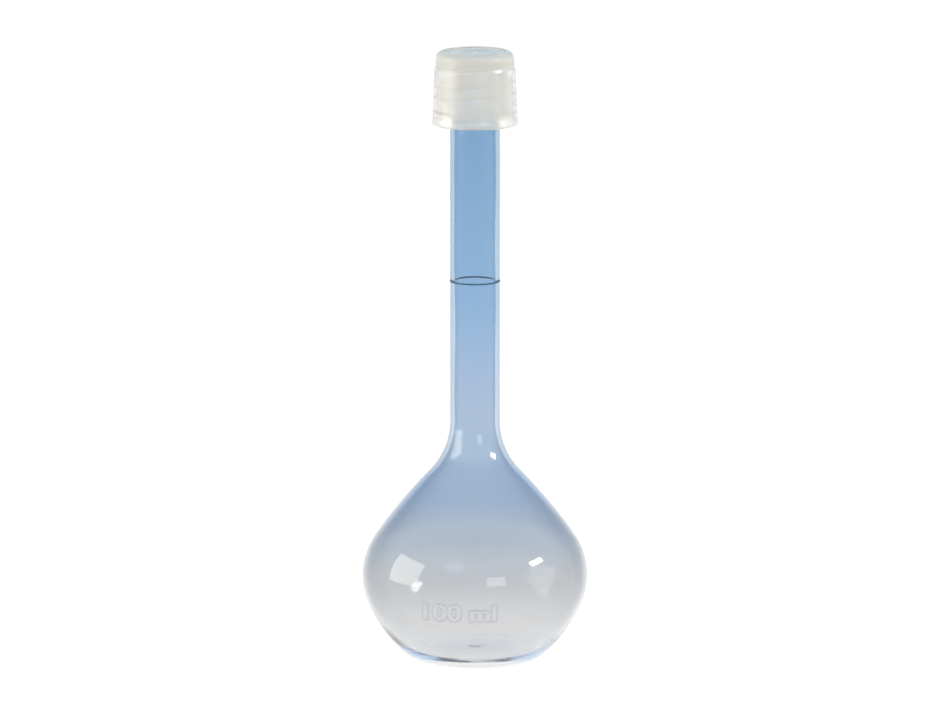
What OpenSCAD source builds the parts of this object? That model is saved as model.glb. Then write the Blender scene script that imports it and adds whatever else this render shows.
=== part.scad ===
// Volumetric flask with a screw cap.
// Four pieces: the blown flask body, the printed ring mark on its neck, the screw cap,
// and the sealing disc inside the cap. The flask stands on z = 0 and its axis is the Z axis.

/* [Bulb] */
// Outer diameter of the bulb at its widest
bulb_d = 62; // [60:0.5:66]
// Radius of the outline round the widest part of the bulb
belly_r = 19.5; // [17:0.5:22]
// Slope of the outline where the belly runs into the shoulder, from vertical
shoulder_low = 35; // [32:1:38]
// Slope of the outline where the shoulder runs into the neck flare, from vertical
shoulder_high = 44; // [42:1:47]
// Radius of the slightly rounded shoulder
shoulder_r = 150; // [120:5:200]
// Slope of the outline where the belly runs into the lower side, from vertical
side_high = 25; // [22:1:28]
// Slope of the outline where the lower side runs into the heel, from vertical
side_low = 47; // [44:1:50]
// Radius of the lower side
side_r = 40; // [38:1:44]
// Radius of the heel, between the lower side and the foot
heel_r = 7; // [6:0.5:8]
// Wall thickness all over the flask
wall = 1.28; // [1:0.02:1.5]
// Width of the flat standing ring under the flask
foot_w = 2.5; // [2:0.25:4]
// Height of the hollow inside the standing ring
punt_h = 1.2; // [0.8:0.1:2]

/* [Neck] */
// Outer diameter of the neck
neck_d = 13.7; // [13.2:0.1:14.2]
// Height of the ring mark above the base
ring_z = 104.6; // [95:0.1:115]
// Height of the ring mark's line
ring_h = 0.45; // [0.3:0.05:0.6]
// How far the printed line stands off the neck
ring_t = 0.08; // [0.05:0.01:0.15]

/* [Thread] */
// Height of the neck's lip above the base
lip_z = 165.4; // [162:0.1:170]
// Length of the thickened end of the neck that carries the thread
finish_h = 14.7; // [14:0.1:15.5]
// Diameter of the thickened end between the threads
core_d = 15.9; // [15.8:0.05:16]
// Outer diameter of the neck's thread
thread_d = 17.7; // [17.5:0.05:17.8]
// Axial rise of the thread in one turn
pitch = 3; // [2.9:0.05:3.1]
// Number of turns on the neck
neck_turns = 3.5; // [3:0.25:3.5]
// Number of turns in the cap
cap_turns = 3; // [2.5:0.25:3]
// Angle about the axis at which both threads start
thread_start = -60; // [-180:10:180]

/* [Cap] */
// Height of the cap
cap_h = 20.4; // [20.2:0.1:21]
// Outer diameter of the cap's upper part
crown_d = 21.5; // [21.3:0.1:22]
// Height of the crown above the small step round the cap
crown_h = 4.4; // [4:0.1:5]
// Outer diameter of the skirt just under the step
skirt_top_d = 22.3; // [22.1:0.1:22.5]
// Outer diameter of the skirt just above its rim
skirt_low_d = 23.2; // [22.9:0.1:23.3]
// Outer diameter of the rounded rim at the cap's open end
rim_d = 23.6; // [23.5:0.1:24]
// Height of the rounded rim
rim_h = 1.6; // [1.4:0.1:2]
// Radius of the rounded edge round the top of the cap
crown_r = 2.3; // [1.8:0.1:2.5]
// Thickness of the cap's top
roof_t = 1.6; // [1.4:0.1:2]
// Diameter of the shallow recess in the cap's top
recess_d = 17; // [16:0.5:17.4]
// Depth of the shallow recess
recess_t = 0.5; // [0.3:0.1:0.7]
// Diameter of the cap's bore between its threads
bore_d = 18.3; // [18.2:0.05:18.4]
// Diameter across the crests of the cap's thread
cap_crest_d = 16.4; // [16.35:0.05:16.5]

/* [Sealing disc] */
// Thickness of the disc
disc_t = 1; // [0.8:0.1:1.2]
// Diameter of the disc
disc_d = 17.8; // [17.4:0.1:18]

/* [Hidden] */
$fn = 128;
bulb_r = bulb_d / 2;
neck_r = neck_d / 2;
core_r = core_d / 2;
// Centres of the outline's arcs, worked out from the foot upwards: each arc is tangent to the next
side_z = heel_r + (side_r - heel_r) * sin(side_low);
belly_z = side_z - (side_r - belly_r) * sin(side_high);
belly_x = bulb_r - belly_r;
side_x = belly_x - (side_r - belly_r) * cos(side_high);
heel_x = side_x + (side_r - heel_r) * cos(side_low);
shoulder_x = belly_x - (shoulder_r - belly_r) * cos(shoulder_low);
shoulder_z = belly_z - (shoulder_r - belly_r) * sin(shoulder_low);
shoulder_end_x = shoulder_x + shoulder_r * cos(shoulder_high);
shoulder_end_z = shoulder_z + shoulder_r * sin(shoulder_high);
// The flare's radius is the one that brings the outline from the shoulder to the neck
flare_r = (shoulder_end_x - neck_r) / (1 - cos(shoulder_high));
flare_x = neck_r + flare_r;
flare_z = shoulder_end_z + flare_r * sin(shoulder_high);
foot_in = heel_x - foot_w;
punt_r = (foot_in * foot_in + punt_h * punt_h) / (2 * punt_h);
punt_half = asin(foot_in / punt_r);
arc_steps = 16;
// Height of the cone between the neck and its thickened end
finish_cone = core_r - neck_r;
finish_z = lip_z - finish_h;
lip_round = 0.4;
mouth_chamfer = 0.3;
roof_z = lip_z + disc_t;
cap_top = roof_z + roof_t;
cap_low = cap_top - cap_h;
step_z = cap_top - crown_h;
step_h = 0.35;
rim_round = 0.7;
rim_top_round = 0.5;
// Radius of the wider entry at the cap's open end, and how high it reaches
entry_r = 9.7;
entry_z = finish_z + 0.4;
entry_cone = entry_r - bore_d / 2;
// Thread ridges: widths at the root and the crest, and how deep the root is sunk in its wall
root_w = 1.5;
crest_w = 0.5;
root_sink = 0.3;
thread_z = finish_z + 1.1;
// The cap's ridge lies this far under the neck's ridge, so it draws the cap down
ridge_gap = 1.2;
ring_steps = 40;
fade_turn = 0.15;

function arc(x, z, r, from, to) = [
    for (i = [0:arc_steps])
        let (a = from + (to - from) * i / arc_steps)
        [x + r * cos(a), z + r * sin(a)]
];

// The flask's outline from the heel up to the neck, moved inwards by the distance w
function side_line(w) = concat(
    arc(heel_x, heel_r, heel_r - w, -90, -side_low),
    arc(side_x, side_z, side_r - w, -side_low, -side_high),
    arc(belly_x, belly_z, belly_r - w, -side_high, shoulder_low),
    arc(shoulder_x, shoulder_z, shoulder_r - w, shoulder_low, shoulder_high),
    arc(flare_x, flare_z, -flare_r - w, shoulder_high, 0)
);

// The hollow under the flask, or the floor above it when raised by w, from the axis outwards
function punt_line(w) = arc(0, punt_h - punt_r + w, punt_r, 90, 90 - punt_half);

// One ring of a thread ridge: its size fades in and out at the two ends
function ridge_ring(root, crest, turn, turns) =
    let (
        fade = max(0.02, min(1, turn / fade_turn, (turns - turn) / fade_turn)),
        tip = root + (crest - root) * fade,
        wide = root_w / 2 * (0.4 + 0.6 * fade),
        thin = crest_w / 2 * (0.4 + 0.6 * fade),
        a = thread_start + 360 * turn,
        z = pitch * turn
    )
    [for (p = [[root, -wide], [tip, -thin], [tip, thin], [root, wide]])
        [p[0] * cos(a), p[0] * sin(a), p[1] + z]];

// A helical ridge from the radius root to the radius crest, rising counter-clockwise
module ridge(root, crest, turns) {
    steps = round(turns * ring_steps);
    points = [for (i = [0:steps]) each ridge_ring(root, crest, turns * i / steps, turns)];
    sides = [for (i = [0:steps - 1], k = [0:3])
        [4 * i + k, 4 * i + (k + 1) % 4, 4 * i + 4 + (k + 1) % 4, 4 * i + 4 + k]];
    halves = [for (s = sides) each [[s[0], s[1], s[2]], [s[0], s[2], s[3]]]];
    ends = [[2, 1, 0], [3, 2, 0], [4 * steps, 4 * steps + 1, 4 * steps + 2],
        [4 * steps, 4 * steps + 2, 4 * steps + 3]];
    faces = concat(halves, ends);
    flipped = [for (f = faces) [f[2], f[1], f[0]]];
    polyhedron(points = points, faces = crest > root ? faces : flipped);
}

module flask_body() {
    color([0.72, 0.82, 0.93, 0.4]) {
        rotate_extrude()
            polygon(concat(
                punt_line(0),
                side_line(0),
                [[neck_r, finish_z - finish_cone], [core_r, finish_z]],
                [[core_r, lip_z - lip_round], [core_r - lip_round, lip_z]],
                [[neck_r - wall + mouth_chamfer, lip_z], [neck_r - wall, lip_z - mouth_chamfer]],
                [for (i = [len(side_line(wall)) - 1:-1:0]) side_line(wall)[i]],
                [for (i = [arc_steps:-1:0]) punt_line(wall)[i]]
            ));
        translate([0, 0, thread_z])
            ridge(core_r - root_sink, thread_d / 2, neck_turns);
    }
}

module ring_mark() {
    color([0.12, 0.3, 0.4])
        rotate_extrude()
            translate([neck_r, ring_z - ring_h / 2])
            square([ring_t, ring_h]);
}

module cap_shell() {
    color([0.88, 0.9, 0.9, 0.85]) {
        rotate_extrude()
            polygon(concat(
                [[entry_r, cap_low]],
                arc(rim_d / 2 - rim_round, cap_low + rim_round, rim_round, -90, 0),
                arc(rim_d / 2 - rim_top_round, cap_low + rim_h - rim_top_round, rim_top_round, 0, 60),
                [[skirt_low_d / 2, cap_low + rim_h + 0.2], [skirt_top_d / 2, step_z - step_h]],
                [[crown_d / 2, step_z]],
                arc(crown_d / 2 - crown_r, cap_top - crown_r, crown_r, 0, 90),
                [[recess_d / 2, cap_top], [recess_d / 2 - recess_t / 2, cap_top - recess_t]],
                [[0, cap_top - recess_t], [0, roof_z], [bore_d / 2, roof_z]],
                [[bore_d / 2, entry_z + entry_cone], [entry_r, entry_z]]
            ));
        translate([0, 0, thread_z - ridge_gap + pitch])
            ridge(bore_d / 2 + root_sink, cap_crest_d / 2, cap_turns);
    }
}

module cap_liner() {
    color([0.93, 0.94, 0.92])
        translate([0, 0, lip_z])
        cylinder(h = disc_t, d = disc_d);
}

flask_body();
ring_mark();
cap_shell();
cap_liner();
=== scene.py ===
import bpy
from math import asin, atan2, ceil, cos, degrees, hypot, pi, radians, sin
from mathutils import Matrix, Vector


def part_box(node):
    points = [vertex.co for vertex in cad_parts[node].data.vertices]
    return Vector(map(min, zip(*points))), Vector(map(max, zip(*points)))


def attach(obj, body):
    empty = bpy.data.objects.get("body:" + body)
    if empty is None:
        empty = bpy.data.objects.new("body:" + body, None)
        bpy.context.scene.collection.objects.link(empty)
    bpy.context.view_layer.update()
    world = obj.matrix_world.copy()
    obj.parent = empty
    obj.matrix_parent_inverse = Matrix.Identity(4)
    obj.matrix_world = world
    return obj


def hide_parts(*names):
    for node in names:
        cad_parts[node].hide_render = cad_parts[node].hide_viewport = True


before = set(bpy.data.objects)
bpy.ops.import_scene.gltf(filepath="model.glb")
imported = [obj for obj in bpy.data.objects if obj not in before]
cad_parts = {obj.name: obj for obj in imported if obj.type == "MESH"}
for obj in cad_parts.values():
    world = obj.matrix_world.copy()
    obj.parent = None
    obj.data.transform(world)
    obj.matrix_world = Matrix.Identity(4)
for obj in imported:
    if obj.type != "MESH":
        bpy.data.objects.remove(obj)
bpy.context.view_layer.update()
print("frame loaded")

mm = 0.001
flaskLow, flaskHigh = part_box("flask_body")
ringLow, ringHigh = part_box("ring_mark")
capLow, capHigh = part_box("cap_shell")
linerLow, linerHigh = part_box("cap_liner")

scene = bpy.context.scene
scene.view_settings.view_transform = "Standard"
scene.cycles.max_bounces = 24
scene.cycles.transmission_bounces = 24
scene.cycles.glossy_bounces = 24
scene.cycles.transparent_max_bounces = 16

# camera: standing back with a long lens, looking slightly down
camera = {
    "distance": 1.760,
    "height": 0.400,
    "aimHeight": 0.0835,
    "lens": 247.4,
}
bpy.ops.object.camera_add(location=(0, -camera["distance"], camera["height"]))
viewer = bpy.context.object
viewer.name = "Camera"
drop = camera["height"] - camera["aimHeight"]
viewer.rotation_euler = (atan2(camera["distance"], drop), 0, 0)
viewer.data.lens = camera["lens"]
viewer.data.sensor_width = 36
viewer.data.clip_end = 20
scene.camera = viewer


def clearSelection():
    for thing in list(bpy.context.selected_objects):
        thing.select_set(False)
    bpy.context.view_layer.objects.active = None


def pickOnly(piece):
    clearSelection()
    piece.select_set(True)
    bpy.context.view_layer.objects.active = piece


# an outline is a list of (radius, height); this walks round an arc of it in even steps
def arcPoints(x, z, radius, start, end, spacing):
    steps = max(2, ceil(abs(radius) * radians(abs(end - start)) / spacing))
    turns = [radians(start + (end - start) * i / steps) for i in range(steps + 1)]
    return [(x + radius * cos(t), z + radius * sin(t)) for t in turns]


# the point that lies a share of the way across and a share of the way up from first to last
def partWay(first, last, across, up):
    return (first[0] + (last[0] - first[0]) * across, first[1] + (last[1] - first[1]) * up)


def linePoints(first, last, spacing):
    steps = max(1, ceil(hypot(last[0] - first[0], last[1] - first[1]) / spacing))
    return [partWay(first, last, i / steps, i / steps) for i in range(steps + 1)]


def easeStep(share):
    share = min(1, max(0, share))
    return share * share * (3 - 2 * share)


# an S-shaped step from one point to the other
def easePoints(first, last, steps):
    return [partWay(first, last, easeStep(i / steps), i / steps) for i in range(steps + 1)]


samePlace = 0.002 * mm  # points closer than this are one point


# the outline is extruded point by point, then spun: sectors are (steps, degrees), one after another
def turnOutline(name, points, startAngle, sectors):
    clearSelection()
    bpy.ops.mesh.primitive_plane_add(size=mm, location=(0, 0, 0))
    piece = bpy.context.object
    piece.name = name
    piece.data.name = name
    bpy.ops.object.mode_set(mode="EDIT")
    bpy.ops.mesh.select_all(action="SELECT")
    bpy.ops.mesh.merge(type="CENTER")
    side = Vector((cos(radians(startAngle)), sin(radians(startAngle)), 0))
    places = [side * r + Vector((0, 0, z)) for r, z in points]
    bpy.ops.transform.translate(value=places[0])
    here = places[0]
    for place in places[1:]:
        if (place - here).length > samePlace:
            bpy.ops.mesh.extrude_region_move(TRANSFORM_OT_translate={"value": place - here})
            here = place
    bpy.ops.mesh.select_all(action="SELECT")
    for steps, angle in sectors:
        bpy.ops.mesh.spin(steps=steps, angle=-radians(angle), center=(0, 0, 0), axis=(0, 0, 1))
    bpy.ops.mesh.select_all(action="SELECT")
    bpy.ops.mesh.remove_doubles(threshold=samePlace)
    bpy.ops.mesh.normals_make_consistent(inside=False)
    bpy.ops.object.mode_set(mode="OBJECT")
    return piece


# weight(co) runs from 0 to 1: each point moves along its normal by height times its weight
def pushOut(piece, name, height, weight):
    group = piece.vertex_groups.new(name=name)
    for point in piece.data.vertices:
        amount = weight(point.co)
        if amount > 0:
            group.add([point.index], amount, "REPLACE")
    pushModifier(piece, name, height)


def pushModifier(piece, groupName, height):
    pickOnly(piece)
    push = piece.modifiers.new(groupName, "DISPLACE")
    push.direction = "NORMAL"
    push.mid_level = 0
    push.strength = height
    push.vertex_group = groupName
    bpy.ops.object.modifier_apply(modifier=push.name)


def smoothPiece(piece, angle):
    pickOnly(piece)
    bpy.ops.object.shade_smooth_by_angle(angle=radians(angle))


# the thread that the neck and the cap share, as the height of its ridge round the axis
thread = {
    "pitch": 3 * mm,
    "startAngle": -60,
    "startHeight": flaskHigh.z - 13.6 * mm,
    "neckTurns": 3.5,
    "capTurns": 3,
    "capDrop": 1.2 * mm,
    "crestWidth": 0.5 * mm,
    "rootWidth": 1.5 * mm,
    "fade": 0.15,
}


# how much of a ridge stands at a point: 1 on its crest, 0 off it, fading at both ends of the thread
def ridgeShare(co, startHeight, turns):
    around = (degrees(atan2(co.y, co.x)) - thread["startAngle"]) / 360 % 1
    rise = (co.z - startHeight) / thread["pitch"]
    turn = around + round(rise - around)
    turn = min(max(turn, around), around + int(turns - around))
    off = abs(rise - turn) * thread["pitch"]
    fade = min(1, turn / thread["fade"], (turns - turn) / thread["fade"])
    if fade <= 0:
        return 0
    flank = (thread["rootWidth"] - thread["crestWidth"]) / 2
    return easeStep(fade) * easeStep((thread["rootWidth"] / 2 - off) / flank)


# flask body: the outline's arcs are tangent to each other, from the foot up to the neck; angles in degrees
flask = {
    "wall": 1.28 * mm,
    "neckRadius": 6.85 * mm,
    "coreRadius": 7.95 * mm,
    "threadRadius": 8.85 * mm,
    "finishLength": 14.7 * mm,
    "bellyRadius": 19.5 * mm,
    "shoulderRadius": 150 * mm,
    "sideRadius": 40 * mm,
    "heelRadius": 7 * mm,
    "shoulderLow": 35,
    "shoulderHigh": 44,
    "sideHigh": 25,
    "sideLow": 47,
    "footWidth": 2.5 * mm,
    "puntHeight": 1.2 * mm,
    "edgeRadius": 0.5 * mm,
    "waveHeight": 0.12 * mm,
    "heelSwell": 0.25 * mm,
    "heelReach": 4 * mm,  # the swell starts this far in from the heel and ends this far above it
    "heelRise": 5 * mm,
    "heelEnd": 9 * mm,
    "heelFall": 6 * mm,
    "bulbThinning": 0.35 * mm,
    "thinFrom": 15 * mm,
    "thinOver": 12 * mm,
    "gateRadius": 1.6 * mm,
    "gateHeight": 0.35 * mm,
    "frontSteps": 130,  # steps round the flask across the mark, and round the rest of it
    "backSteps": 118,
}
bulbRadius = (flaskHigh.x - flaskLow.x) / 2
lipHeight = flaskHigh.z


def arcCentres(s):
    low, high = radians(s["sideLow"]), radians(s["sideHigh"])
    under, over = radians(s["shoulderLow"]), radians(s["shoulderHigh"])
    sideToHeel = s["sideRadius"] - s["heelRadius"]
    sideToBelly = s["sideRadius"] - s["bellyRadius"]
    shoulderToBelly = s["shoulderRadius"] - s["bellyRadius"]
    sideZ = s["heelRadius"] + sideToHeel * sin(low)
    bellyX, bellyZ = bulbRadius - s["bellyRadius"], sideZ - sideToBelly * sin(high)
    sideX = bellyX - sideToBelly * cos(high)
    heelX = sideX + sideToHeel * cos(low)
    shoulderX = bellyX - shoulderToBelly * cos(under)
    shoulderZ = bellyZ - shoulderToBelly * sin(under)
    endX = shoulderX + s["shoulderRadius"] * cos(over)
    endZ = shoulderZ + s["shoulderRadius"] * sin(over)
    flareRadius = (endX - s["neckRadius"]) / (1 - cos(over))
    return {
        "heel": (heelX, s["heelRadius"]),
        "side": (sideX, sideZ),
        "belly": (bellyX, bellyZ),
        "shoulder": (shoulderX, shoulderZ),
        "flare": (s["neckRadius"] + flareRadius, endZ + flareRadius * sin(over)),
        "flareRadius": flareRadius,
    }


centres = arcCentres(flask)

# raised capacity mark on the bulb: only the amount, in plain letters
mark = {
    "text": "100 ml",
    "middle": -4.1 * mm,
    "base": 15.8 * mm,
    "letterHeight": 4.5 * mm,
    "width": 19.6 * mm,
    "thickening": 0.016,
    "relief": 0.22 * mm,
    "slope": 0.26 * mm,  # width of a letter's side
    "halo": 0.6 * mm,  # width of the painted shade line round a letter
    "clearRows": 0.8 * mm,  # the close rows go this far past the letters, up and down
    "clearAngle": 4,  # and the close columns this many degrees past them
    "spacing": 0.17 * mm,
}


# where a height on the belly's arc lies, in degrees
def bellyAngle(s, z):
    return degrees(asin((z - centres["belly"][1]) / s["bellyRadius"]))


# the wall from the heel up to the neck, moved in by inset; the mark's band gets closer rows
def wallOutline(s, inset, fine):
    bandLow = bellyAngle(s, mark["base"] - mark["clearRows"])
    bandHigh = bellyAngle(s, mark["base"] + mark["letterHeight"] + mark["clearRows"])
    low, high = s["shoulderLow"], s["shoulderHigh"]
    rows = mark["spacing"] if fine else 1.1 * mm
    belly, bellyRadius = centres["belly"], s["bellyRadius"] - inset
    return (
        arcPoints(*centres["heel"], s["heelRadius"] - inset, -90, -s["sideLow"], 0.6 * mm)
        + arcPoints(*centres["side"], s["sideRadius"] - inset, -s["sideLow"], -s["sideHigh"], mm)
        + arcPoints(*belly, bellyRadius, -s["sideHigh"], bandLow, mm)
        + arcPoints(*belly, bellyRadius, bandLow, bandHigh, rows)
        + arcPoints(*belly, bellyRadius, bandHigh, low, mm)
        + arcPoints(*centres["shoulder"], s["shoulderRadius"] - inset, low, high, 1.2 * mm)
        + arcPoints(*centres["flare"], -centres["flareRadius"] - inset, high, 0, 0.8 * mm)
    )


# the hollow under the flask, from its middle outwards: closer rows round the gate mark in its middle
def puntOutline(s, lift):
    reach = centres["heel"][0] - s["footWidth"]
    domeRadius = (reach ** 2 + s["puntHeight"] ** 2) / (2 * s["puntHeight"])
    half = degrees(asin(reach / domeRadius))
    gate = degrees(asin(1.5 * s["gateRadius"] / domeRadius))
    centreZ = s["puntHeight"] - domeRadius + lift
    return (
        arcPoints(0, centreZ, domeRadius, 90, 90 - gate, 0.2 * mm)
        + arcPoints(0, centreZ, domeRadius, 90 - gate, 90 - half, 1.2 * mm)
    )


def flaskOutline(s):
    bore = s["neckRadius"] - s["wall"]
    finishZ = lipHeight - s["finishLength"]
    coneZ = finishZ - (s["coreRadius"] - s["neckRadius"])
    neckZ = centres["flare"][1]
    edge = s["edgeRadius"]
    outside = (
        puntOutline(s, 0)
        + wallOutline(s, 0, True)
        + linePoints((s["neckRadius"], neckZ), (s["neckRadius"], coneZ), 4 * mm)
        + linePoints((s["neckRadius"], coneZ), (s["coreRadius"], finishZ), 0.3 * mm)
        + linePoints((s["coreRadius"], finishZ), (s["coreRadius"], lipHeight - edge), 0.22 * mm)
    )
    lip = (
        arcPoints(s["coreRadius"] - edge, lipHeight - edge, edge, 0, 90, 0.15 * mm)
        + arcPoints(bore + edge, lipHeight - edge, edge, 90, 180, 0.15 * mm)
    )
    inside = (
        linePoints((bore, lipHeight - edge), (bore, neckZ), 4 * mm)
        + wallOutline(s, s["wall"], False)[::-1]
        + puntOutline(s, s["wall"])[::-1]
    )
    return outside + lip + inside


def makeFlask(s):
    markLeft = degrees(asin((mark["middle"] - mark["width"] / 2) / bulbRadius)) - mark["clearAngle"]
    markRight = degrees(asin((mark["middle"] + mark["width"] / 2) / bulbRadius)) + mark["clearAngle"]
    front = markRight - markLeft
    sectors = [(s["frontSteps"], front), (s["backSteps"], 360 - front)]
    piece = turnOutline("flask_clear_body", flaskOutline(s), markLeft - 90, sectors)
    finishZ = lipHeight - s["finishLength"]

    def threadWeight(co):
        if co.z <= finishZ or hypot(co.x, co.y) <= s["coreRadius"] - 0.01 * mm:
            return 0
        return ridgeShare(co, thread["startHeight"], thread["neckTurns"])

    # blown walls are never quite even inside
    def waveWeight(co):
        r = hypot(co.x, co.y)
        around = atan2(co.y, co.x)
        wave = sin(2 * around + 60 * co.z) + sin(3 * around - 130 * co.z + 1)
        wave += 0.6 * sin(5 * around + 210 * co.z)
        return insideWall(s, r, co.z) * (0.5 + 0.19 * wave) * easeStep(r / (6 * mm))

    # a low round mark with a dimple, in the middle of the underside
    def gateWeight(co):
        r = hypot(co.x, co.y)
        if co.z >= s["puntHeight"] + s["wall"] / 2 or r >= 2 * s["gateRadius"]:
            return 0
        edge = 0.3 * s["gateRadius"]
        return easeStep((s["gateRadius"] - r) / edge) - 0.6 * easeStep((s["gateRadius"] / 2 - r) / edge)

    # the wall is blown thinner where the bulb is widest
    def bulbWeight(co):
        r = hypot(co.x, co.y)
        return insideWall(s, r, co.z) * easeStep((r - s["thinFrom"]) / s["thinOver"])

    # the plastic gathers a little where the wall turns into the base
    def heelWeight(co):
        r, around = hypot(co.x, co.y), atan2(co.y, co.x)
        x, z = r - centres["heel"][0], co.z - centres["heel"][1]
        reach = s["heelReach"]
        if x < -reach or z > reach or hypot(max(x, 0), z) > s["heelRadius"] - s["wall"] / 2:
            return 0
        along = s["heelRadius"] * atan2(x, -z) if x > 0 else x
        swell = easeStep((along + reach) / s["heelRise"]) * easeStep((s["heelEnd"] - along) / s["heelFall"])
        return swell * (0.8 + 0.2 * sin(2 * around + 0.6))

    pushOut(piece, "thread", s["threadRadius"] - s["coreRadius"], threadWeight)
    pushOut(piece, "waves", -s["waveHeight"], waveWeight)
    pushOut(piece, "heel", s["heelSwell"], heelWeight)
    pushOut(piece, "bulb", -s["bulbThinning"], bulbWeight)
    pushOut(piece, "gate", s["gateHeight"], gateWeight)
    return piece


# 1 on the inner wall and 0 on the outer one, told apart by their distance from the outer outline
def insideWall(s, r, z):
    if z > centres["flare"][1]:
        return 1 if r < s["neckRadius"] - s["wall"] / 2 and z < lipHeight - 2 * mm else 0
    for name, radius, low, high in (
        ("shoulder", s["shoulderRadius"], s["shoulderLow"], s["shoulderHigh"]),
        ("belly", s["bellyRadius"], -s["sideHigh"], s["shoulderLow"]),
        ("side", s["sideRadius"], -s["sideLow"], -s["sideHigh"]),
    ):
        x, y = r - centres[name][0], z - centres[name][1]
        if low <= degrees(atan2(y, x)) <= high:
            return 1 if hypot(x, y) < radius - s["wall"] / 2 else 0
    return 0


# the letters are wrapped on to the bulb, then the bulb's points near them are pushed out
def raiseMark(piece):
    clearSelection()
    bpy.ops.object.text_add(location=(0, 0, 0))
    letters = bpy.context.object
    letters.data.body = mark["text"]
    letters.data.offset = mark["thickening"]
    letters.data.resolution_u = 6
    bpy.ops.object.convert(target="MESH")
    letters = bpy.context.object
    low = Vector([min(v.co[i] for v in letters.data.vertices) for i in range(3)])
    high = Vector([max(v.co[i] for v in letters.data.vertices) for i in range(3)])
    bpy.ops.object.mode_set(mode="EDIT")
    bpy.ops.mesh.select_all(action="SELECT")
    bpy.ops.transform.translate(value=(-(low.x + high.x) / 2, -low.y, 0))
    bpy.ops.mesh.quads_convert_to_tris()
    bpy.ops.mesh.subdivide(number_cuts=2)
    bpy.ops.object.mode_set(mode="OBJECT")
    letters.scale = (mark["width"] / (high.x - low.x), mark["letterHeight"] / (high.y - low.y), 1)
    letters.rotation_euler = (pi / 2, 0, 0)
    letters.location = (mark["middle"], -bulbRadius - 5 * mm, mark["base"])
    bpy.ops.object.transform_apply(location=True, rotation=True, scale=True)
    wrap = letters.modifiers.new("wrap", "SHRINKWRAP")
    wrap.wrap_method = "PROJECT"
    wrap.use_project_y = True
    wrap.use_positive_direction = True
    wrap.target = piece
    bpy.ops.object.modifier_apply(modifier="wrap")
    pickOnly(piece)
    weighNear(piece, letters, "halo", mark["halo"])
    keepEdges(piece, piece.vertex_groups["halo"])
    weighNear(piece, letters, "mark", mark["slope"])
    pushModifier(piece, "mark", mark["relief"])
    bpy.data.objects.remove(letters)


# a group of the points near the letters: 1 on a letter, falling to 0 at the given reach from it
def weighNear(piece, letters, name, reach):
    low, high = mark["base"] - mm, mark["base"] + mark["letterHeight"] + mm
    front = [v for v in piece.data.vertices if v.co.y < -0.5 * bulbRadius]
    group = piece.vertex_groups.new(name=name)
    group.add([v.index for v in front if low < v.co.z < high], 1, "REPLACE")
    near = piece.modifiers.new("near", "VERTEX_WEIGHT_PROXIMITY")
    near.vertex_group = name
    near.target = letters
    near.proximity_mode = "GEOMETRY"
    near.proximity_geometry = {"FACE"}
    near.min_dist = reach
    near.max_dist = 0.02 * mm
    bpy.ops.object.modifier_apply(modifier="near")


# the rims of the letters, kept for the painted shade round them: 1 beside a letter's edge, 0 on its face
# and away from it
def keepEdges(piece, group):
    shares = []
    for v in piece.data.vertices:
        weight = sum(g.weight for g in v.groups if g.group == group.index)
        shares.append(4 * weight * (1 - weight))
    edges = piece.data.attributes.new("markEdge", "FLOAT", "POINT")
    edges.data.foreach_set("value", shares)


# ring mark: a printed line round the neck, a little uneven as print is
ring = {
    "thickness": ringHigh.x - flask["neckRadius"],
    "height": ringHigh.z - ringLow.z,
    "sunk": 0.04 * mm,
    "unevenness": 0.02 * mm,
}


def makeRing(s):
    middle = (ringLow.z + ringHigh.z) / 2
    inner, outer = flask["neckRadius"] - s["sunk"], flask["neckRadius"] + s["thickness"] - s["unevenness"]
    half = s["height"] / 2 - s["unevenness"]
    edge = s["thickness"] / 2
    outline = (
        linePoints((inner, middle - half), (outer - edge, middle - half), mm)
        + arcPoints(outer - edge, middle - half + edge, edge, -90, 0, 0.03 * mm)
        + arcPoints(outer - edge, middle + half - edge, edge, 0, 90, 0.03 * mm)
        + linePoints((inner, middle + half), (inner, middle - half), mm)
    )
    piece = turnOutline("flask_ring_mark", outline, -90, [(180, 360)])

    def printWeight(co):
        around = atan2(co.y, co.x)
        return 0.5 + 0.25 * (sin(7 * around) + sin(19 * around + co.z / mm))

    pushOut(piece, "print", s["unevenness"], printWeight)
    return piece


# screw cap: a rounded crown with a shallow recess, a small step, a flared skirt and a rolled rim
cap = {
    "crownRadius": 10.75 * mm,
    "crownHeight": 4.4 * mm,
    "crownRound": 2.3 * mm,
    "stepHeight": 0.5 * mm,
    "skirtTopRadius": 11.15 * mm,
    "skirtLowRadius": 11.6 * mm,
    "rimHeight": 1.6 * mm,
    "rimRound": 0.7 * mm,
    "rimTopRound": 0.5 * mm,
    "recessDepth": 0.5 * mm,
    "gateRadius": 1.1 * mm,
    "gateHeight": 0.22 * mm,
    "boreRadius": 9.15 * mm,
    "crestRadius": 8.2 * mm,
    "entryRadius": 9.7 * mm,
    "entryHeight": 3.5 * mm,
    "edgeRadius": 0.3 * mm,
    "recessLip": 0.2 * mm,
    "cornerRadius": 0.2 * mm,
}
rimRadius = (capHigh.x - capLow.x) / 2
roofHeight = linerHigh.z


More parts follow.
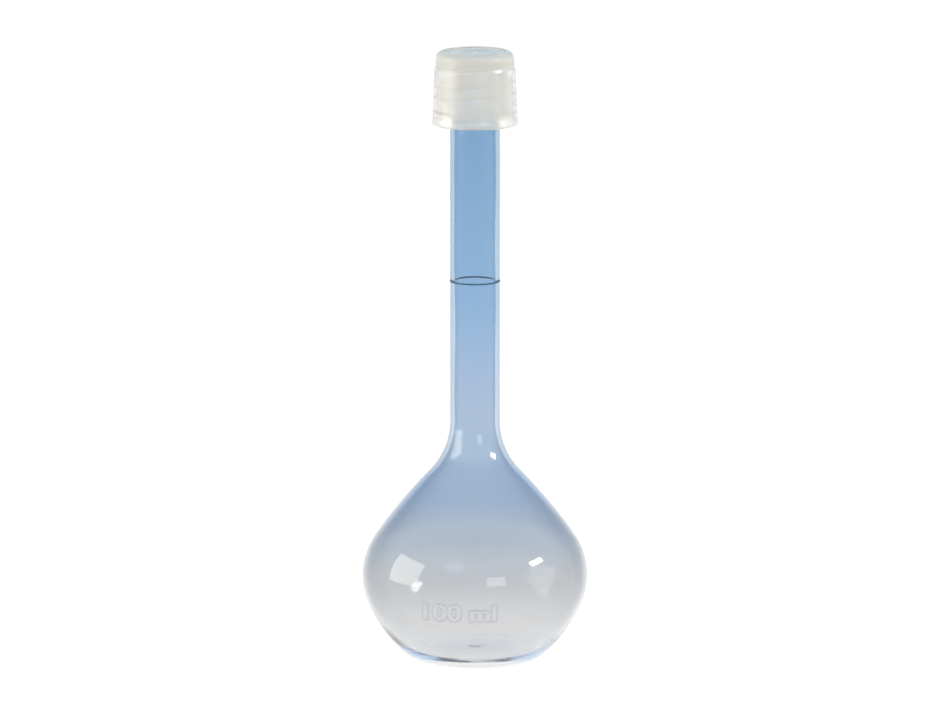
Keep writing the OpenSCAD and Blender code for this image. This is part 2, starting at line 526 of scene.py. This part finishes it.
def capOutline(s):
    top, low = capHigh.z, capLow.z
    recessZ = top - s["recessDepth"]
    crownX = s["crownRadius"] - s["crownRound"]
    edge, lip, corner = s["edgeRadius"], s["recessLip"], s["cornerRadius"]
    stepTop = (s["crownRadius"], top - s["crownHeight"] + s["stepHeight"])
    stepLow = (s["skirtTopRadius"], top - s["crownHeight"] - 2 * s["stepHeight"])
    rimTop = (s["skirtLowRadius"], low + s["rimHeight"] + mm)
    rimSide = (rimRadius, low + s["rimHeight"] - s["rimTopRound"])
    nubRadius = (s["gateRadius"] ** 2 + s["gateHeight"] ** 2) / (2 * s["gateHeight"])
    nubHalf = degrees(asin(s["gateRadius"] / nubRadius))
    coneZ = low + s["entryHeight"]
    coneTop = coneZ + s["entryRadius"] - s["boreRadius"]
    crown = (
        arcPoints(0, recessZ + s["gateHeight"] - nubRadius, nubRadius, 90, 90 - nubHalf, 0.2 * mm)
        + arcPoints(crownX - 0.5 * mm, recessZ + edge, edge, -90, -20, 0.1 * mm)
        + arcPoints(crownX, top - lip, lip, 160, 90, 0.06 * mm)
        + arcPoints(crownX, top - s["crownRound"], s["crownRound"], 90, 0, 0.25 * mm)
    )
    skirt = (
        easePoints(stepTop, stepLow, 8)
        + linePoints(stepLow, rimTop, mm)
        + easePoints(rimTop, rimSide, 6)
        + arcPoints(rimRadius - s["rimRound"], low + s["rimRound"], s["rimRound"], 0, -90, 0.15 * mm)
        + arcPoints(s["entryRadius"] + edge, low + edge, edge, -90, -180, 0.12 * mm)
    )
    inside = (
        linePoints((s["entryRadius"], low + edge), (s["entryRadius"], coneZ), 0.6 * mm)
        + linePoints((s["entryRadius"], coneZ), (s["boreRadius"], coneTop), 0.3 * mm)
        + linePoints((s["boreRadius"], coneTop), (s["boreRadius"], roofHeight - corner), 0.2 * mm)
        + arcPoints(s["boreRadius"] - corner, roofHeight - corner, corner, 0, 90, 0.08 * mm)
        + linePoints((s["boreRadius"] - corner, roofHeight), (0, roofHeight), 2 * mm)
    )
    return crown + skirt + inside


def makeCap(s):
    piece = turnOutline("cap_milky_shell", capOutline(s), -90, [(168, 360)])
    start = thread["startHeight"] - thread["capDrop"] + thread["pitch"]
    coneTop = capLow.z + s["entryHeight"] + s["entryRadius"] - s["boreRadius"]

    def threadWeight(co):
        if hypot(co.x, co.y) >= s["boreRadius"] + 0.05 * mm or not coneTop < co.z < roofHeight - 0.3 * mm:
            return 0
        return ridgeShare(co, start, thread["capTurns"])

    pushOut(piece, "thread", s["boreRadius"] - s["crestRadius"], threadWeight)
    return piece


# sealing disc: soft foam, pressed a little round the flask's lip
liner = {
    "radius": (linerHigh.x - linerLow.x) / 2,
    "edgeRadius": 0.2 * mm,
    "press": 0.12 * mm,
    "clearance": 0.03 * mm,
    "lipRoom": 0.1 * mm,
}


def makeLiner(s):
    top, low = linerHigh.z - s["clearance"], linerLow.z
    edge, press = s["edgeRadius"], s["press"]
    lipOuter = flask["coreRadius"] + s["lipRoom"]
    lipInner = flask["neckRadius"] - flask["wall"] - s["lipRoom"]
    outline = (
        linePoints((0, top), (s["radius"] - edge, top), mm)
        + arcPoints(s["radius"] - edge, top - edge, edge, 90, 0, 0.08 * mm)
        + arcPoints(s["radius"] - edge, low - press + edge, edge, 0, -90, 0.08 * mm)
        + linePoints((lipOuter + press, low - press), (lipOuter, low), 0.05 * mm)
        + linePoints((lipOuter, low), (lipInner, low), 0.6 * mm)
        + linePoints((lipInner - press, low - press), (0, low - press), mm)
    )
    return turnOutline("cap_sealing_disc", outline, -90, [(96, 360)])


# a socket that arithmetic works on: an expression on values adds its Math nodes
class Wire:
    def __init__(self, tree, socket=None):
        self.tree = tree
        self.socket = socket

    # any node: its settings first, then the values or links of its sockets
    def node(self, kind, settings, sockets, output=0):
        made = self.tree.nodes.new(kind)
        for name, value in settings.items():
            if name == "stops":
                fillRamp(made.color_ramp, value)
            else:
                setattr(made, name, value)
        for name, value in sockets.items():
            if isinstance(value, Wire):
                self.tree.links.new(value.socket, made.inputs[name])
            else:
                made.inputs[name].default_value = value
        return made if output is None else Wire(self.tree, made.outputs[output])

    def math(self, operation, first, second=0):
        return self.node("ShaderNodeMath", {"operation": operation}, {0: first, 1: second})

    def __add__(self, other):
        return self.math("ADD", self, other)

    def __radd__(self, other):
        return self.math("ADD", other, self)

    def __sub__(self, other):
        return self.math("SUBTRACT", self, other)

    def __rsub__(self, other):
        return self.math("SUBTRACT", other, self)

    def __mul__(self, other):
        return self.math("MULTIPLY", self, other)

    def __rmul__(self, other):
        return self.math("MULTIPLY", other, self)

    # 0 below low, 1 above high and smooth between them
    def between(self, low, high):
        settings = {"interpolation_type": "SMOOTHSTEP"}
        sockets = {"Value": self, "From Min": low, "From Max": high}
        return self.node("ShaderNodeMapRange", settings, sockets)

    def noise(self, place, scale, detail=2, roughness=0.5):
        sockets = {"Vector": place, "Scale": scale, "Detail": detail, "Roughness": roughness}
        return self.node("ShaderNodeTexNoise", {}, sockets)

    def mix(self, share, first, second):
        return self.node("ShaderNodeMix", {"data_type": "RGBA"}, {0: share, 6: first, 7: second}, 2)

    def tinted(self, first, second):
        settings = {"data_type": "RGBA", "blend_type": "MULTIPLY"}
        return self.node("ShaderNodeMix", settings, {0: 1, 6: first, 7: second}, 2)

    def bump(self, height, strength, distance):
        sockets = {"Height": height, "Strength": strength, "Distance": distance}
        return self.node("ShaderNodeBump", {}, sockets)


white = (1, 1, 1, 1)


def fillRamp(ramp, stops):
    while len(ramp.elements) > 1:
        ramp.elements.remove(ramp.elements[0])
    for i, (place, colour) in enumerate(stops):
        stop = ramp.elements[0] if i == 0 else ramp.elements.new(place)
        stop.position = place
        stop.color = (*colour, 1)


def newMaterial(name):
    material = bpy.data.materials.new(name)
    material.use_nodes = True
    material.node_tree.nodes.clear()
    start = Wire(material.node_tree)
    return material, start, start.node("ShaderNodeTexCoord", {}, {}, "Object")


def heightOf(start, place):
    return start.node("ShaderNodeSeparateXYZ", {}, {"Vector": place}, "Z")


def finishMaterial(start, surface, volume=None):
    ends = {"Surface": surface}
    if volume:
        ends["Volume"] = volume
    start.node("ShaderNodeOutputMaterial", {}, ends, None)


# flask plastic: clear, with painted colour of what is seen through it, greyish low down, bluer up the neck
# and pale under the cap; painted shade darkens its edges and rings the letters of the mark
clearFinishAndPaintedLight = {
    # painted colour of what is seen through the clear plastic, by height: greyish low down, bluer up the
    # neck, and pale again under the cap
    "stops": [
        (0.00, (0.92, 0.92, 0.92)),
        (0.03, (0.86, 0.86, 0.85)),
        (0.09, (0.74, 0.72, 0.71)),
        (0.15, (0.65, 0.66, 0.67)),
        (0.19, (0.66, 0.69, 0.72)),
        (0.23, (0.58, 0.63, 0.70)),
        (0.28, (0.53, 0.62, 0.73)),
        (0.34, (0.60, 0.68, 0.76)),
        (0.42, (0.59, 0.67, 0.76)),
        (0.50, (0.55, 0.65, 0.77)),
        (0.60, (0.48, 0.62, 0.76)),
        (0.905, (0.41, 0.57, 0.71)),
        (0.915, (0.78, 0.84, 0.87)),
        (1.00, (0.88, 0.90, 0.90)),
    ],
    "topHeight": 0.1654,  # metres: the stops are shares of it
    "roughness": 0.05,
    "ior": 1.46,
    "grazing": (0.3, 0.85),  # 0 where the surface faces the camera, 1 where it is edge-on
    "grazingLow": (0.005, 0.035),  # heights over which the edge shade comes in
    "grazingShade": (0.36, 0.42, 0.48),
    "letterShade": (0.69, 0.71, 0.74),
    "absorbed": (0.75, 0.87, 1.0),
    "density": 32,
}


def clearPlastic(s):
    material, start, place = newMaterial("clear_plastic_painted_backdrop")
    height = heightOf(start, place)
    share = height * (1 / s["topHeight"])
    # painted backdrop: the base colour stands in for the surroundings seen through the plastic, not for a
    # tint of its own
    paintedSurroundings = start.node("ShaderNodeValToRGB", {"stops": s["stops"]}, {"Fac": share})
    haze = start.noise(place, 90, 3)
    ripple = start.noise(place, 220, 2)
    flow = start.noise(place, 45, 1)
    grazing = start.node("ShaderNodeLayerWeight", {}, {}, 1).between(*s["grazing"])
    grazing = grazing * height.between(*s["grazingLow"])
    # painted shade: the base colour darkens and turns bluer where the wall is seen edge-on, fading out
    # towards the foot
    edge = start.mix(grazing, white, (*s["grazingShade"], 1))
    # painted shade: a soft dark line round each letter, standing in for how its raised sides bend the light
    letterSides = start.node("ShaderNodeAttribute", {"attribute_name": "markEdge"}, {}, "Fac")
    paintedLetterShade = start.mix(letterSides, white, (*s["letterShade"], 1))
    surface = start.node("ShaderNodeBsdfPrincipled", {}, {
        "Base Color": start.tinted(start.tinted(paintedSurroundings, edge), paintedLetterShade),
        "Roughness": s["roughness"] + 0.05 * haze.between(0.45, 0.8) + 0.1 * letterSides,
        "IOR": s["ior"],
        "Transmission Weight": 1.0,
        "Normal": start.bump(ripple + 2 * flow, 0.2, 0.00008),
    })
    inside = {"Color": (*s["absorbed"], 1), "Density": s["density"]}
    finishMaterial(start, surface, start.node("ShaderNodeVolumeAbsorption", {}, inside))
    return material


# cap plastic: milky, satin on the crown, clearer at the rim; it lets the thread show faintly, and a painted
# light-blue reflection runs along its edges
capFinishAndPaintedEdge = {
    "colour": (0.98, 0.93, 0.84),
    "shade": (0.95, 0.91, 0.84),
    "grazing": (0.7, 1.0),  # 0 where the surface faces the camera, 1 where it is edge-on
    # painted reflection: light-blue base colour where the cap is seen edge-on
    "edge": (0.62, 0.82, 0.92),
    "roughness": 0.21,
    "rimRoughness": 0.13,
    "rimTop": (0.1490, 0.1535),  # heights over which the clearer rim turns milky
    "crownLow": (0.1631, 0.1641),  # heights over which the skirt turns into the satin crown
    "crownRoughness": 0.38,
    "crownTint": (0.97, 0.965, 0.94),
    "ior": 1.49,
    "transmission": 0.70,
}


def capPlastic(s):
    material, start, place = newMaterial("milky_cap_plastic")
    height = heightOf(start, place)
    cloud = start.noise(place, 70, 3)
    grain = start.noise(place, 2600, 2)
    scuff = start.noise(place, 260, 4, 0.65)
    grazing = start.node("ShaderNodeLayerWeight", {}, {}, 1).between(*s["grazing"])
    clouded = start.mix(cloud.between(0.35, 0.7), (*s["colour"], 1), (*s["shade"], 1))
    milky = height.between(*s["rimTop"])
    crown = height.between(*s["crownLow"])
    rough = s["rimRoughness"] + milky * (s["roughness"] - s["rimRoughness"])
    rough = rough + crown * (s["crownRoughness"] - s["roughness"])
    topped = start.tinted(clouded, start.mix(crown, white, (*s["crownTint"], 1)))
    # painted reflection: the base colour turns light blue where the cap is seen edge-on
    edge = start.mix(grazing, white, (*s["edge"], 1))
    surface = start.node("ShaderNodeBsdfPrincipled", {}, {
        "Base Color": start.tinted(topped, edge),
        "Roughness": rough + 0.03 * scuff.between(0.4, 0.75),
        "IOR": s["ior"],
        "Specular IOR Level": 0.35,
        "Coat Weight": 0.2,
        "Coat Roughness": 0.1,
        "Transmission Weight": s["transmission"],
        "Normal": start.bump(grain, 0.25, 0.00003),
    })
    finishMaterial(start, surface)
    return material


# printed line: dark blue-green ink, slightly thin in places
inkFinish = {
    "colour": (0.012, 0.075, 0.125),
    "thinColour": (0.03, 0.13, 0.19),
    "roughness": 0.4,
    "ior": 1.5,
}


def markInk(s):
    material, start, place = newMaterial("ring_mark_ink")
    patch = start.noise(place, 700, 3)
    thin = patch.between(0.4, 0.7)
    surface = start.node("ShaderNodeBsdfPrincipled", {}, {
        "Base Color": start.mix(thin, (*s["colour"], 1), (*s["thinColour"], 1)),
        "Roughness": s["roughness"] + 0.15 * patch,
        "IOR": s["ior"],
    })
    finishMaterial(start, surface)
    return material


# foam disc: off-white, with fine cells
foamFinish = {
    "colour": (0.86, 0.87, 0.85),
    "cellColour": (0.78, 0.79, 0.77),
    "cellScale": 3500,
    "roughness": 0.75,
    "ior": 1.45,
}


def linerFoam(s):
    material, start, place = newMaterial("white_liner_foam")
    sockets = {"Vector": place, "Scale": s["cellScale"]}
    cells = start.node("ShaderNodeTexVoronoi", {}, sockets, "Distance")
    surface = start.node("ShaderNodeBsdfPrincipled", {}, {
        "Base Color": start.mix(cells, (*s["colour"], 1), (*s["cellColour"], 1)),
        "Roughness": s["roughness"] + 0.1 * cells,
        "IOR": s["ior"],
        "Normal": start.bump(cells, 0.4, 0.0001),
    })
    finishMaterial(start, surface)
    return material


def dress(piece, material, body, node):
    piece.data.materials.clear()
    piece.data.materials.append(material)
    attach(piece, body)
    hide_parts(node)


flaskBody = makeFlask(flask)
raiseMark(flaskBody)
smoothPiece(flaskBody, 50)
print("flask:", len(flaskBody.data.polygons), "faces")
ringMark = makeRing(ring)
smoothPiece(ringMark, 60)
capShell = makeCap(cap)
smoothPiece(capShell, 50)
capLiner = makeLiner(liner)
smoothPiece(capLiner, 50)
print("ring, cap and disc made")

dress(flaskBody, clearPlastic(clearFinishAndPaintedLight), "flask", "flask_body")
dress(ringMark, markInk(inkFinish), "flask", "ring_mark")
dress(capShell, capPlastic(capFinishAndPaintedEdge), "cap", "cap_shell")
dress(capLiner, linerFoam(foamFinish), "liner", "cap_liner")
print("finishes on")

# studio: a plain pale floor just under the foot, glowing so that it stays even, and pale surroundings
studio = {
    "floorRadius": 4,
    "floorGap": 0.05 * mm,
    "floorGrey": 0.25,
    "glow": (1.0, 0.985, 0.96),
    "glowStrength": 0.88,
    "lowSky": (0.95, 0.97, 1.0),
    "highSky": (0.68, 0.82, 1.0),
    "skyRise": (0.02, 0.35),
    "skyStrength": 1.1,
}
clearSelection()
bpy.ops.mesh.primitive_circle_add(
    vertices=96, radius=studio["floorRadius"], fill_type="NGON", location=(0, 0, -studio["floorGap"])
)
floor = bpy.context.object
floor.name = "floor"
floorMaterial, floorStart, floorPlace = newMaterial("pale_floor")
finishMaterial(floorStart, floorStart.node("ShaderNodeBsdfPrincipled", {}, {
    "Base Color": (studio["floorGrey"], studio["floorGrey"], studio["floorGrey"], 1),
    "Roughness": 1.0,
    "Specular IOR Level": 0.0,
    "Emission Color": (*studio["glow"], 1),
    "Emission Strength": studio["glowStrength"],
}))
floor.data.materials.append(floorMaterial)

# surroundings: white to the camera, and bluer above for what the plastic mirrors and bends
world = bpy.data.worlds.new("white_surroundings")
scene.world = world
world.use_nodes = True
world.node_tree.nodes.clear()
sky = Wire(world.node_tree)
away = sky.node("ShaderNodeNewGeometry", {}, {}, "Position")
rise = heightOf(sky, away).between(*studio["skyRise"])
soft = sky.mix(rise, (*studio["lowSky"], 1), (*studio["highSky"], 1))
seen = sky.node("ShaderNodeLightPath", {}, {}, "Is Camera Ray")
sockets = {"Color": sky.mix(seen, soft, white), "Strength": studio["skyStrength"]}
shown = sky.node("ShaderNodeBackground", {}, sockets)
sky.node("ShaderNodeOutputWorld", {}, {"Surface": shown}, None)

# each light: degrees to the right of the camera's side, degrees up, distance, size, radiance and colour
lights = {
    "softbox_left": (-79, 12, 1.2, (0.80, 0.85), 3.3, (1.0, 0.94, 0.84)),
    "lamp_right": (76, 30, 1.5, (0.40, 0.16), 34.0, (1.0, 1.0, 1.0)),
    "softbox_front": (22, 13, 1.6, (0.55, 0.40), 2.2, (1.0, 1.0, 1.0)),
}
lampAim = Vector((0, 0, 0.03))


def addLight(name, azimuth, elevation, distance, size, radiance, colour):
    a, e = radians(azimuth), radians(elevation)
    away = Vector((sin(a) * cos(e), -cos(a) * cos(e), sin(e)))
    clearSelection()
    bpy.ops.object.light_add(type="AREA", location=lampAim + away * distance)
    lamp = bpy.context.object
    lamp.name = name
    lamp.rotation_euler = away.to_track_quat("Z", "Y").to_euler()
    lamp.data.shape = "RECTANGLE"
    lamp.data.size, lamp.data.size_y = size
    lamp.data.energy = radiance * pi * size[0] * size[1]
    lamp.data.color = colour
    lamp.visible_camera = False


for name, values in lights.items():
    addLight(name, *values)
print("floor and lights placed")
